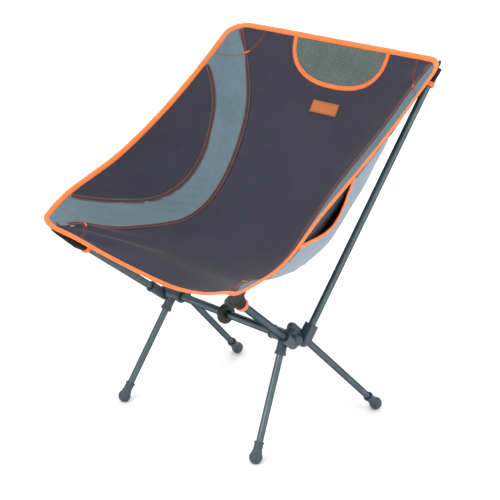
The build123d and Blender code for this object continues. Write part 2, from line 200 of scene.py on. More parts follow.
@dataclass(frozen=True)
class Solid:
    """A moulded, drawn or spun surface, read from Object coordinates."""

    name: str
    dark: str
    light: str
    grain_mm: float
    roughness: float
    relief_mm: float = 0.05
    metallic: float = 0.0
    stretch: tuple[float, float, float] = (1.0, 1.0, 1.0)
    # rim: the tint of the edge reflection; any colour other than white paints darker reflections at grazing
    # angles
    rim: str = "#ffffff"

    def material(self) -> bpy.types.Material:
        """Build the material.

        Returns:
            The new material.
        """
        mat = bpy.data.materials.new(self.name)
        mat.use_nodes = True
        tree = mat.node_tree
        tree.nodes.clear()
        place = add(tree, "ShaderNodeTexCoord").outputs["Object"]
        turned = add(tree, "ShaderNodeMapping", {"Scale": self.stretch}, {"Vector": place}).outputs[0]
        grain = add(tree, "ShaderNodeTexNoise", {"Scale": 1 / (self.grain_mm * MM), "Detail": 3.0},
                    {"Vector": turned})
        wear = add(tree, "ShaderNodeTexNoise", {"Scale": 28.0, "Detail": 5.0, "Roughness": 0.6},
                   {"Vector": place})
        half_wear = add(tree, "ShaderNodeMath", {"operation": "MULTIPLY", 1: 0.5}, {0: wear.outputs["Fac"]})
        tone = add(tree, "ShaderNodeMath", {"operation": "MULTIPLY_ADD", 1: 0.5},
                   {0: grain.outputs["Fac"], 2: half_wear.outputs[0]})
        ramp = add(tree, "ShaderNodeValToRGB", None, {"Fac": tone.outputs[0]})
        shade(ramp, (0.30, self.dark), (0.72, self.light))
        rough = add(tree, "ShaderNodeMapRange",
                    {"To Min": self.roughness - 0.07, "To Max": self.roughness + 0.09},
                    {"Value": wear.outputs["Fac"]})
        bump = add(tree, "ShaderNodeBump", {"Strength": 0.6, "Distance": self.relief_mm * MM},
                   {"Height": grain.outputs["Fac"]})
        # The rim colour goes to Specular Tint: where it is darker than white, the edge reflections are painted
        # darker.
        shader = add(tree, "ShaderNodeBsdfPrincipled",
                     {"Metallic": self.metallic, "Specular Tint": linear(self.rim)},
                     {"Base Color": ramp.outputs["Color"], "Roughness": rough.outputs[0],
                      "Normal": bump.outputs["Normal"]})
        add(tree, "ShaderNodeOutputMaterial", None, {"Surface": shader.outputs[0]})
        return mat


class Finish(Enum):
    """Every finish on the chair."""

    # Coated polyester, plain weave: matt, slightly mottled, a faint bloom at grazing light.
    CHARCOAL = Cloth("coated polyester, charcoal", "#16161e", "#393947", sheen=0.1)
    GREY = Cloth("coated polyester, blue-grey", "#3f5259", "#677e88", roughness=0.72, sheen=0.15)
    POCKET = Cloth("coated polyester, pale blue-grey", "#62727d", "#8f9faa", roughness=0.7, sheen=0.2)
    BLACK = Cloth("heavy coated polyester, black", "#050506", "#141417", sheen=0.05, relief_mm=0.3)
    # Folded grosgrain ribbon: cross ribs give fine shading on a saturated colour.
    BINDING = Cloth("grosgrain ribbon, orange", "#f65a1c", "#ff8244", pitch_mm=1.4, weave=Weave.RIBBED,
                    roughness=0.62, sheen=0.15)
    # Polyester thread, twisted: dull rust on the seams, bright where it is packed close.
    THREAD = Solid("polyester thread, rust", "#93452f", "#c0603f", 0.8, 0.7)
    BRIGHT_THREAD = Solid("polyester thread, orange", "#d8501c", "#f4743a", 0.8, 0.65)
    DARK_THREAD = Solid("polyester thread, dark red", "#5a2423", "#7c3b38", 0.8, 0.7)
    # Warp-knitted polyester: pale matt strands.
    MESH = Solid("knitted polyester mesh", "#76857f", "#9aa8a1", 1.2, 0.8, 0.1)
    # The ground between the strands: dark, its own holes too fine to show.
    MESH_GROUND = Cloth("knitted ground, dark", "#1d2423", "#3a4542", pitch_mm=1.8)
    # Seam allowance, folded and pressed: darker than the cloth it lies on.
    ALLOWANCE = Cloth("folded seam allowance", "#201d24", "#3a3640")
    # Drawn aluminium tube, dark anodised: satin, with fine lengthwise lines. Its rim colour is a painted
    # reflection: the grazing edges are tinted grey-blue instead of white, standing in for dark surroundings
    # reflected there.
    TUBE = Solid("drawn aluminium, dark anodised", "#465255", "#6a787d", 0.9, 0.36, 0.01, 1.0, (1.0, 1.0, 0.1),
                 rim="#6f7d82")
    FERRULE = Solid("drawn aluminium, plain", "#9a9c9e", "#bcbec0", 0.9, 0.3, 0.01, 1.0, (1.0, 1.0, 0.1))
    # Glass-filled nylon, moulded: a fine spark-eroded grain, soft highlights.
    NYLON = Solid("glass-filled nylon, blue-grey", "#25353c", "#394a53", 0.7, 0.46, 0.06)
    BLACK_NYLON = Solid("moulded nylon, black", "#101012", "#242427", 0.7, 0.45, 0.06)
    RUBBER = Solid("moulded rubber, black", "#060607", "#121214", 0.9, 0.55, 0.08)
    CORD = Solid("braided elastic cord", "#141416", "#2c2c30", 0.8, 0.7, 0.15)
    LABEL = Cloth("woven label, copper", "#8a4a25", "#c9743c", pitch_mm=1.2, roughness=0.6)


class Palette:
    """Builds each finish once and hands it out."""

    def __init__(self) -> None:
        """Start with no materials built."""
        self._made: dict[Finish, bpy.types.Material] = {}

    def get(self, finish: Finish) -> bpy.types.Material:
        """The material of a finish.

        Args:
            finish: which finish.

        Returns:
            Its material, built the first time it is asked for.
        """
        if finish not in self._made:
            self._made[finish] = finish.value.material()
        return self._made[finish]


PALETTE = Palette()


# --------------------------------------------------------------------- meshes
def outward(points: np.ndarray, faces: np.ndarray) -> np.ndarray:
    """Order a closed shape's faces so that they point out.

    The signed volume of the tetrahedra from the middle to each face says which
    way round they are.

    Args:
        points: vertices, (n, 3).
        faces: vertex numbers, (m, 3) or (m, 4).

    Returns:
        The faces, reversed if the volume is negative.
    """
    centred = points - points.mean(axis=0)
    a, b, c = (centred[faces[:, k]] for k in (0, 1, 2))
    volume = np.einsum("ij,ij->i", a, np.cross(b, c)).sum()
    if faces.shape[1] == 4:
        d = centred[faces[:, 3]]
        volume += np.einsum("ij,ij->i", a, np.cross(c, d)).sum()
    return faces if volume > 0 else faces[:, ::-1]


def mesh_object(name: str, points: np.ndarray, faces: np.ndarray, finish: Finish,
                uv: np.ndarray | None = None, caps: Sequence[np.ndarray] = ()) -> bpy.types.Object:
    """Make a smooth mesh object.

    Args:
        name: the object's name in plain words; its spaces become underscores.
        points: vertices, (n, 3).
        faces: vertex numbers of equal-sized faces.
        finish: its finish.
        uv: cloth coordinates in metres for each vertex, (n, 2).
        caps: extra many-sided faces.

    Returns:
        The object, at the origin.
    """
    name = name.replace(" ", "_")
    mesh = bpy.data.meshes.new(name)
    mesh.from_pydata(points.tolist(), [], faces.tolist() + [cap.tolist() for cap in caps])
    if uv is not None:
        layer = mesh.uv_layers.new(name="weave")
        corners = np.empty(len(mesh.loops), dtype=np.int32)
        mesh.loops.foreach_get("vertex_index", corners)
        layer.data.foreach_set("uv", uv[corners].astype(np.float32).ravel())
    mesh.shade_smooth()
    mesh.materials.append(PALETTE.get(finish))
    obj = bpy.data.objects.new(name, mesh)
    bpy.context.scene.collection.objects.link(obj)
    return obj


def grid_faces(rows: int, columns: int, wrap_rows: bool = False, wrap_columns: bool = False) -> np.ndarray:
    """The four-sided faces of a grid of points.

    Args:
        rows: how many rows the grid has.
        columns: how many points a row has.
        wrap_rows: whether the last row joins the first.
        wrap_columns: whether each row closes on itself.

    Returns:
        Vertex numbers, (m, 4).
    """
    index = np.arange(rows * columns).reshape(rows, columns)
    if wrap_rows:
        index = np.vstack([index, index[:1]])
    if wrap_columns:
        index = np.hstack([index, index[:, :1]])
    return np.stack([index[:-1, :-1], index[:-1, 1:], index[1:, 1:], index[1:, :-1]], axis=-1).reshape(-1, 4)


def cloth_uv(grid: np.ndarray) -> np.ndarray:
    """Cloth coordinates in metres: distance along each row from its middle, and down the middle column.

    Args:
        grid: the sheet's points, (rows, columns, 3).

    Returns:
        The coordinates, (rows, columns, 2).
    """
    rows, columns = grid.shape[:2]
    steps = np.linalg.norm(np.diff(grid, axis=1), axis=-1)
    across = np.concatenate([np.zeros((rows, 1)), np.cumsum(steps, axis=1)], axis=1)
    across -= across[:, columns // 2, None]
    down = np.linalg.norm(np.diff(grid[:, columns // 2], axis=0), axis=-1)
    along = np.concatenate([[0], np.cumsum(down)])
    return np.stack([across, np.repeat(along[:, None], columns, axis=1)], axis=-1)


def thicken(obj: bpy.types.Object, thickness: float) -> None:
    """Give a sheet its thickness, half to each side."""
    wall = obj.modifiers.new("thickness", "SOLIDIFY")
    wall.thickness = thickness
    wall.offset = 0.0
    wall.use_even_offset = True


def mirrored(grid: np.ndarray, side: int) -> np.ndarray:
    """Points of the +X side as they are, or mirrored for side -1."""
    return grid * np.array([side, 1, 1])


@dataclass
class Track:
    """A line on the cloth: points, the cloth's normal at each, and whether it closes."""

    points: np.ndarray
    normals: np.ndarray
    closed: bool = False

    def resampled(self, step: float) -> "Track":
        """The same line with its points evenly spaced, about step apart.

        Args:
            step: the spacing wanted, in metres.

        Returns:
            The new line.
        """
        points = np.vstack([self.points, self.points[:1]]) if self.closed else self.points
        normals = np.vstack([self.normals, self.normals[:1]]) if self.closed else self.normals
        reach = np.concatenate([[0], np.cumsum(np.linalg.norm(np.diff(points, axis=0), axis=-1))])
        count = max(int(round(reach[-1] / step)), 3)
        at = np.linspace(0, reach[-1], count + 1)
        if self.closed:
            at = at[:-1]
        pick = [np.stack([np.interp(at, reach, values[:, k]) for k in range(3)], axis=-1)
                for values in (points, normals)]
        return Track(pick[0], unit(pick[1]), self.closed)

    def frames(self) -> tuple[np.ndarray, np.ndarray, np.ndarray]:
        """The directions at each point, square to each other.

        Returns:
            Three arrays of unit vectors, (n, 3): tangent, sideways, normal.
        """
        if self.closed:
            tangent = np.roll(self.points, -1, axis=0) - np.roll(self.points, 1, axis=0)
        else:
            tangent = np.gradient(self.points, axis=0)
        tangent = unit(tangent)
        side = unit(np.cross(self.normals, tangent))
        return tangent, side, unit(np.cross(tangent, side))

    def shifted(self, sideways: float, lift: float) -> "Track":
        """The line moved sideways on the cloth and lifted along its normal."""
        _, side, normal = self.frames()
        return Track(self.points + side * sideways + normal * lift, self.normals, self.closed)


def carried(name: str, track: Track, profile: np.ndarray, finish: Finish,
            swell: np.ndarray | None = None) -> bpy.types.Object:
    """Carry a closed profile along a track.

    Each point is the track's point plus the profile's first number sideways
    and its second along the normal.

    Args:
        name: the object's name.
        track: where it runs.
        profile: closed outline, (n, 2), in metres.
        finish: its finish.
        swell: a scale for the profile at each point of the track.

    Returns:
        The object.
    """
    _, side, normal = track.frames()
    scale = np.ones(len(track.points)) if swell is None else swell
    grid = (track.points[:, None] + side[:, None] * profile[None, :, :1] * scale[:, None, None]
            + normal[:, None] * profile[None, :, 1:] * scale[:, None, None])
    rows, columns = grid.shape[:2]
    points = grid.reshape(-1, 3)
    faces = outward(points, grid_faces(rows, columns, track.closed, True))
    caps = []
    if not track.closed:
        first, last = np.arange(columns), np.arange(columns) + (rows - 1) * columns
        turned = faces[0, 0] + 1 == faces[0, 1]
        caps = [first[::-1], last] if turned else [first, last[::-1]]
    reach = np.concatenate([[0], np.cumsum(np.linalg.norm(np.diff(track.points, axis=0), axis=-1))])
    ring = np.concatenate([[0], np.cumsum(np.linalg.norm(np.diff(profile, axis=0), axis=-1))])
    uv = np.stack(np.broadcast_arrays(ring[None, :], reach[:, None]), axis=-1).reshape(-1, 2)
    return mesh_object(name, points, faces, finish, uv, caps)


def oval(half_width: float, half_height: float, count: int = 14, power: float = 0.8) -> np.ndarray:
    """A rounded flat outline: cosine and sine, each raised to a power that squares it off.

    Args:
        half_width: half its size along the first axis.
        half_height: half its size along the second.
        count: how many points it has.
        power: 1 for an ellipse, less for a squarer outline.

    Returns:
        The outline, (count, 2).
    """
    angle = np.arange(count) * TAU / count
    c, s = np.cos(angle), np.sin(angle)
    return np.stack([half_width * np.sign(c) * np.abs(c) ** power,
                     half_height * np.sign(s) * np.abs(s) ** power], axis=-1)


@dataclass(frozen=True)
class Stitching:
    """A run of lock stitches: each a small flattened spindle of thread lying along the seam."""

    pitch: float = 4.2 * MM
    length: float = 3.5 * MM
    radius: float = 0.55 * MM
    sides: int = 6

    def spindle(self) -> tuple[np.ndarray, np.ndarray]:
        """One stitch along X: two tips and three rings.

        Returns:
            Its points, (n, 3), and its triangles, (m, 3).
        """
        angle = np.arange(self.sides) * TAU / self.sides
        ring = np.stack([np.zeros(self.sides), np.cos(angle), 0.8 * np.sin(angle)], axis=-1) * self.radius
        half = self.length / 2
        rings = [ring * [1, s, s] + [x * half, 0, 0] for x, s in ((-0.75, 0.8), (0.0, 1.0), (0.75, 0.8))]
        points = np.vstack([[[-half, 0, 0]], *rings, [[half, 0, 0]]])
        k = np.arange(self.sides)
        n = (k + 1) % self.sides
        last = 1 + 3 * self.sides
        tris = [np.stack([np.zeros_like(k), 1 + n, 1 + k], axis=-1),
                np.stack([np.full_like(k, last), 1 + 2 * self.sides + k, 1 + 2 * self.sides + n], axis=-1)]
        for r in (1, 1 + self.sides):
            tris += [np.stack([r + k, r + n, r + self.sides + n], axis=-1),
                     np.stack([r + k, r + self.sides + n, r + self.sides + k], axis=-1)]
        return points, outward(points, np.vstack(tris))

    def sew(self, name: str, tracks: Iterable[Track], finish: Finish) -> bpy.types.Object:
        """Sew along several tracks.

        Args:
            name: the object's name.
            tracks: the lines to follow, already lifted off the cloth.
            finish: the thread.

        Returns:
            One object holding every stitch.
        """
        shape, tris = self.spindle()
        centres, tangents, sides, normals = [], [], [], []
        for track in tracks:
            even = track.resampled(self.pitch)
            tangent, side, normal = even.frames()
            centres.append(even.points)
            tangents.append(tangent)
            sides.append(side)
            normals.append(normal)
        c, t, s, n = (np.vstack(part)[:, None] for part in (centres, tangents, sides, normals))
        points = c + t * shape[None, :, :1] + s * shape[None, :, 1:2] + n * shape[None, :, 2:]
        faces = tris[None] + (np.arange(len(points)) * len(shape))[:, None, None]
        return mesh_object(name, points.reshape(-1, 3), faces.reshape(-1, 3), finish)


SEAM_STITCH = Stitching()
FINE_STITCH = Stitching(3.4 * MM, 2.8 * MM, 0.45 * MM)
TACK_STITCH = Stitching(1.6 * MM, 2.4 * MM, 1.1 * MM)


# ---------------------------------------------------------------- sling's shape
@dataclass(frozen=True)
class SlingShape:
    """The sling's surface: u from -1 to 1 across, v from 0 at the front to 1 at the top.

    Two smooth curves run from front to top, one down the middle and one along
    the side edge. Across, a point leaves the middle curve for the edge curve
    by the power of u given by fullness.
    """

    bar_y: float = -48.35 * MM
    side_edge: tuple = ((243, -209, 356), (262, -133, 389), (246, -30, 440),
                        (243, 70, 498), (244, 165, 563), (246, 265, 641))
    middle_line: tuple = ((0, -132, 283), (0, -27, 299), (0, 67, 333),
                          (0, 158, 412), (0, 247, 511), (0, 296, 634))
    fullness: tuple = (1.5, 3.3, 3.0, 4.2)
    tip: tuple = (196.3 * MM, -173.0 * MM)
    tent_height: float = 4 * MM
    tent_spread: float = 34 * MM
    corner_u: float = 0.12
    corner_v: float = 0.045
    edge_length: float = 0.56
    half_span: float = 0.243
    ray_height: float = 2.6 * MM
    top_ray_height: float = 1.0 * MM
    pucker_height: float = 0.5 * MM
    fold_height: float = 1.9 * MM
    long_fold_height: float = 1.8 * MM
    roll_height: float = 8.0 * MM
    slack_height: float = 1.2 * MM

    @staticmethod
    def curve(stations: tuple, t: np.ndarray) -> np.ndarray:
        """A Catmull-Rom curve through stations.

        Args:
            stations: the points it passes through, in millimetres.
            t: where along it, from 0 to 1.

        Returns:
            Points in metres, with the three parts on the last axis.
        """
        p = np.array(stations, dtype=float) * MM
        p = np.vstack([2 * p[0] - p[1], p, 2 * p[-1] - p[-2]])
        spans = len(stations) - 1
        place = np.clip(t, 0, 1) * spans
        index = np.minimum(place.astype(int), spans - 1)
        f = (place - index)[..., None]
        a, b, c, d = (p[index + k] for k in range(4))
        return 0.5 * (2 * b + (c - a) * f + (2 * a - 5 * b + 4 * c - d) * f ** 2
                      + (3 * b - a - 3 * c + d) * f ** 3)

    def base(self, u: np.ndarray, v: np.ndarray) -> np.ndarray:
        """The smooth surface, without creases.

        Args:
            u: place across, from -1 to 1.
            v: place from front (0) to top (1).

        Returns:
            Points in metres.
        """
        u, v = np.broadcast_arrays(np.asarray(u, float), np.asarray(v, float))
        edge, middle = self.curve(self.side_edge, v), self.curve(self.middle_line, v)
        power = np.interp(v, np.linspace(0, 1, len(self.fullness)), self.fullness)
        share = (np.abs(u) ** power)[..., None]
        p = middle * (1 - share) + edge * share
        p[..., 0] = edge[..., 0] * u
        away = (np.abs(p[..., 0]) - self.tip[0]) ** 2 + (p[..., 1] - self.tip[1]) ** 2
        p[..., 2] += self.tent_height * np.exp(-away / (2 * self.tent_spread ** 2))
        p[..., 1] += self.bar_y
        return p

    def normal(self, u: np.ndarray, v: np.ndarray) -> np.ndarray:
        """The surface's normal, out of the bucket, from small steps each way.

        Args:
            u: place across.
            v: place from front to top.

        Returns:
            Unit vectors.
        """
        u, v = np.broadcast_arrays(np.asarray(u, float), np.asarray(v, float))
        step = 0.004
        across = self.base(np.minimum(u + step, 1), v) - self.base(np.maximum(u - step, -1), v)
        down = self.base(u, np.minimum(v + step, 1)) - self.base(u, np.maximum(v - step, 0))
        return unit(np.cross(down, across))

    def rays(self, u: np.ndarray, v: np.ndarray) -> np.ndarray:
        """Rays from the loaded corners: a cosine of the angle round the corner, fading with distance.

        Args:
            u: place across.
            v: place from front to top.

        Returns:
            Distance out of the bucket.
        """
        across = (1 - np.abs(u)) * self.half_span
        front, top = v * self.edge_length, (1 - v) * self.edge_length
        near, angle = np.hypot(across, front), np.arctan2(front, across + 1e-6)
        fan = np.cos(19 * angle + 0.8 * np.sign(u)) * hump(angle, 0.40, 0.50)
        near_top, angle_top = np.hypot(across, top), np.arctan2(top, across + 1e-6)
        return (-self.ray_height * hump(near, 0.095, 0.080) * fan
                - self.top_ray_height * hump(near_top, 0.07, 0.05) * np.cos(13 * angle_top))

    def folds(self, u: np.ndarray, v: np.ndarray) -> np.ndarray:
        """Short folds where the grey panel bends: sines across it, flat at its seams, and long ones above.

        Args:
            u: place across.
            v: place from front to top.

        Returns:
            Distance out of the bucket.
        """
        side = np.abs(u)
        inside = np.clip((side - seam_u(v)) / np.maximum(wing_u(v) - seam_u(v), 0.02), 0, 1)
        wave = np.sin(TAU * (5.5 * side + 24.0 * v + 0.1 * u) + 2.2 * np.sin(17 * v + 7 * side))
        short = np.sin(np.pi * inside) * hump(v, 0.37, 0.11) * np.sign(wave) * np.abs(wave) ** 1.3
        long = hump(side, 0.66, 0.14) * hump(v, 0.68, 0.13) * np.sin(TAU * (3.4 * side - 5.6 * v))
        return self.fold_height * short + self.long_fold_height * long

    def relief(self, u: np.ndarray, v: np.ndarray) -> np.ndarray:
        """Every crease and fold together, flat under the binding.

        With the rays and folds go puckers along the binding, a soft roll
        behind the front edge and a broad slack wave.

        Args:
            u: place across.
            v: place from front to top.

        Returns:
            Distance out of the bucket.
        """
        side = np.abs(u)
        across, front = (1 - side) * self.half_span, v * self.edge_length
        pucker = self.pucker_height * np.exp(-across / 0.010) * np.sin(TAU * front / 0.021)
        roll = -self.roll_height * hump(v, 0.085, 0.050) * (1 - side ** 4)
        slack = self.slack_height * np.sin(4.3 * u + 1.1) * np.sin(6.7 * v + 0.4) * (1 - side ** 6)
        total = self.rays(u, v) + self.folds(u, v) + pucker + roll + slack
        return total * smooth((1 - side) / 0.05 + 0.25)

    def at(self, u: np.ndarray, v: np.ndarray, lift: np.ndarray | float = 0.0) -> np.ndarray:
        """A point of the creased cloth, lifted out of the bucket by lift."""
        offset = self.relief(u, v) + lift
        return self.base(u, v) + self.normal(u, v) * np.asarray(offset)[..., None]

    def track(self, u: np.ndarray, v: np.ndarray, lift: float = 0.0, closed: bool = False) -> Track:
        """The line through points of the cloth, with normals out of the bucket."""
        return Track(self.at(u, v, lift), self.normal(u, v), closed)

    def half_width(self, v: np.ndarray) -> np.ndarray:
        """The rounded outline's share of the half width at v: quarter ellipses at the corners."""
        near = np.clip(np.minimum(v, 1 - v) / self.corner_v, 0, 1)
        return 1 - self.corner_u * (1 - np.sqrt(1 - (1 - near) ** 2))

    def locate(self, x: np.ndarray, z: np.ndarray) -> tuple[np.ndarray, np.ndarray]:
        """Find places on the upper back by halving the range of v.

        Args:
            x: distance from the middle plane.
            z: height above the floor.

        Returns:
            The u and v of each point.
        """
        low, high = np.full_like(x, 0.55), np.ones_like(x) * 1.0
        for _ in range(30):
            v = (low + high) / 2
            u = x / self.curve(self.side_edge, v)[..., 0]
            above = self.base(u, v)[..., 2] > z
            low, high = np.where(above, low, v), np.where(above, v, high)
        return x / self.curve(self.side_edge, v)[..., 0], v


SLING = SlingShape()


def seam_u(v: np.ndarray) -> np.ndarray:
    """Seam of the centre panel: the edge's share less a lobe of sine."""
    return 0.94 - 0.46 * np.sin(np.pi * np.clip(v, 0, 1) ** 0.93) ** 0.9


def wing_u(v: np.ndarray) -> np.ndarray:
    """Seam of the dark wing: a lobe of sine that starts and ends at the edge."""
    t = np.clip((v - 0.20) / 0.635, 0, 1)
    return 1 - 0.287 * np.maximum(np.sin(np.pi * t ** 0.9), 0) ** 0.81


# --------------------------------------------------------------- sling's pieces
def settle(obj: bpy.types.Object, nodes: Sequence[str] = ()) -> bpy.types.Object:
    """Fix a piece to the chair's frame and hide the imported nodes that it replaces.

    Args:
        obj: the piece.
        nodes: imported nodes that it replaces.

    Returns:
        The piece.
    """
    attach(obj, "root")
    if nodes:
        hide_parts(*nodes)
    LOG.info("piece %s: %d faces", obj.name, len(obj.data.polygons))
    return obj


@dataclass(frozen=True)
class Panel:
    """A cut piece of cloth between two seams.

    A point is the cloth's surface at u = inner + (outer - inner) * b and v from
    start to end, for b from 0 to 1.
    """

    name: str
    inner: SeamLine
    outer: SeamLine
    start: float
    end: float
    rows: int
    columns: int
    finish: Finish
    slot: str
    thickness: float = 0.9 * MM

    def grid(self) -> tuple[np.ndarray, np.ndarray]:
        """The u and v of every point.

        Returns:
            Two arrays, (rows, columns).
        """
        v = np.linspace(self.start, self.end, self.rows)[:, None]
        b = np.linspace(0, 1, self.columns)[None, :]
        low, high = self.inner(v), self.outer(v)
        return low + (high - low) * b, np.broadcast_to(v, (self.rows, self.columns))

    def build(self, nodes: Sequence[str], side: int = 1, lift: np.ndarray | float = 0.0,
              keep: Callable[[np.ndarray], np.ndarray] | None = None,
              hold: Sequence[str] = ()) -> bpy.types.Object:
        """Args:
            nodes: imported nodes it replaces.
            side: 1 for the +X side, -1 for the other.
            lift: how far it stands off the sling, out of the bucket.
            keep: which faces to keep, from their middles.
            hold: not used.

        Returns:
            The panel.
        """
        u, v = self.grid()
        grid = mirrored(SLING.at(u, v, lift), side)
        uv = cloth_uv(grid).reshape(-1, 2)
        points, faces = grid.reshape(-1, 3), grid_faces(self.rows, self.columns)
        if side < 0:
            faces = faces[:, ::-1]
        if keep is not None:
            faces = faces[keep(points[faces].mean(axis=1))]
            used, faces = np.unique(faces, return_inverse=True)
            faces, points, uv = faces.reshape(-1, 4), points[used], uv[used]
        obj = mesh_object(self.name, points, faces, self.finish, uv)
        thicken(obj, self.thickness)
        settle(obj, nodes)
        return obj


POLE_TIPS = ("right_seat_pole_cap", "left_seat_pole_cap", "right_back_pole_cap", "left_back_pole_cap")


@dataclass(frozen=True)
class Window:
    """The mesh window: a D hung from the top edge, drawn square on.

    Its lower edge is a superellipse: height below the rim = drop times
    (1 - (x / half)^power)^(1 / power).
    """

    half: float = 106 * MM
    drop: float = 73 * MM
    rim: float = 634 * MM
    power: float = 2.47
    tape: float = 7 * MM
    pitch: float = 3.6 * MM
    strand: float = 1.0 * MM

    def outline(self, margin: float, count: int) -> tuple[np.ndarray, np.ndarray]:
        """The D's curved edge, from one end to the other.

        Args:
            margin: how far outside the D it runs.
            count: how many points.

        Returns:
            The x and the z of each point.
        """
        angle = np.linspace(0, np.pi, count)
        c, s = np.cos(angle), np.sin(angle)
        x = (self.half + margin) * np.sign(c) * np.abs(c) ** (2 / self.power)
        return x, self.rim - (self.drop + margin) * s ** (2 / self.power)

    def inside(self, x: np.ndarray, z: np.ndarray, margin: float) -> np.ndarray:
        """Whether points lie in the D.

        Args:
            x: distance from the middle plane.
            z: height above the floor.
            margin: how much the D is grown.

        Returns:
            True for each point inside.
        """
        across = np.clip(np.abs(x) / (self.half + margin), 0, 1)
        depth = (self.drop + margin) * (1 - across ** self.power) ** (1 / self.power)
        return (np.abs(x) < self.half + margin) & (z > self.rim - depth)

    def knit(self) -> bpy.types.Object:
        """The mesh: a net of diamonds with a strand along each side.

        Returns:
            The net.
        """
        step = self.pitch / 2
        i, j = np.meshgrid(np.arange(-70, 71), np.arange(0, 75), indexing="ij")
        x, z = i * step * 1.15, self.rim + 0.004 - j * step
        odd = ((i + j) % 2 == 1)[1:-1, 1:-1]
        index = np.arange(i.size).reshape(i.shape)
        around = (index[:-2, 1:-1], index[1:-1, 2:], index[2:, 1:-1], index[1:-1, :-2])
        faces = np.stack([corner[odd] for corner in around], axis=-1)
        u, v = SLING.locate(x.ravel(), z.ravel())
        middle_x, middle_z = x.ravel()[faces].mean(axis=1), z.ravel()[faces].mean(axis=1)
        ok = self.inside(middle_x, middle_z, 2.5 * MM) & (v[faces].max(axis=1) < 0.992)
        used, faces = np.unique(faces[ok], return_inverse=True)
        points = SLING.at(u[used], v[used])
        obj = mesh_object("mesh window net", points, faces.reshape(-1, 4), Finish.MESH)
        wire = obj.modifiers.new("strands", "WIREFRAME")
        wire.thickness = self.strand
        wire.use_replace = wire.use_boundary = True
        wire.use_even_offset = False
        return settle(obj, ["mesh_panel"])

    def ground(self) -> bpy.types.Object:
        """The fine dark knit behind the strands, a sheet cut to the D.

        Returns:
            The sheet.
        """
        b = np.linspace(-1, 1, 90)[None, :] * np.ones((60, 1))
        x = b * (self.half + 2.5 * MM)
        across = np.clip(np.abs(b), 0, 1)
        low = self.rim - (self.drop + 2.5 * MM) * (1 - across ** self.power) ** (1 / self.power)
        _, v_low = SLING.locate(x, low)
        v = v_low + (0.994 - v_low) * np.linspace(0, 1, 60)[:, None]
        u = x / SLING.curve(SLING.side_edge, v)[..., 0]
        grid = SLING.at(u, v)
        obj = mesh_object("mesh window ground", grid.reshape(-1, 3), grid_faces(60, 90), Finish.MESH_GROUND,
                          cloth_uv(grid).reshape(-1, 2))
        thicken(obj, 0.35 * MM)
        return settle(obj)

    def line(self, margin: float, lift: float) -> Track:
        """The D's edge on the cloth.

        Args:
            margin: how far outside the D it runs.
            lift: how far it stands off the cloth.

        Returns:
            The line, evenly spaced.
        """
        x, z = self.outline(margin, 241)
        u, v = SLING.locate(x, np.minimum(z, self.rim - 0.0005))
        return SLING.track(u, v, lift).resampled(2.5 * MM)

    def bind(self) -> None:
        """The ribbon round the D, folded over the net's edge, with a row of stitches on each margin."""
        ribbon = carried("mesh window binding", self.line(0.5 * self.tape, 0.0), oval(4.2 * MM, 1.5 * MM),
                         Finish.BINDING)
        settle(ribbon, ["mesh_binding"])
        rows = [self.line(0.5 * self.tape + d, -1.75 * MM) for d in (-2.4 * MM, 2.4 * MM)]
        settle(FINE_STITCH.sew("mesh window stitching", rows, Finish.BRIGHT_THREAD))


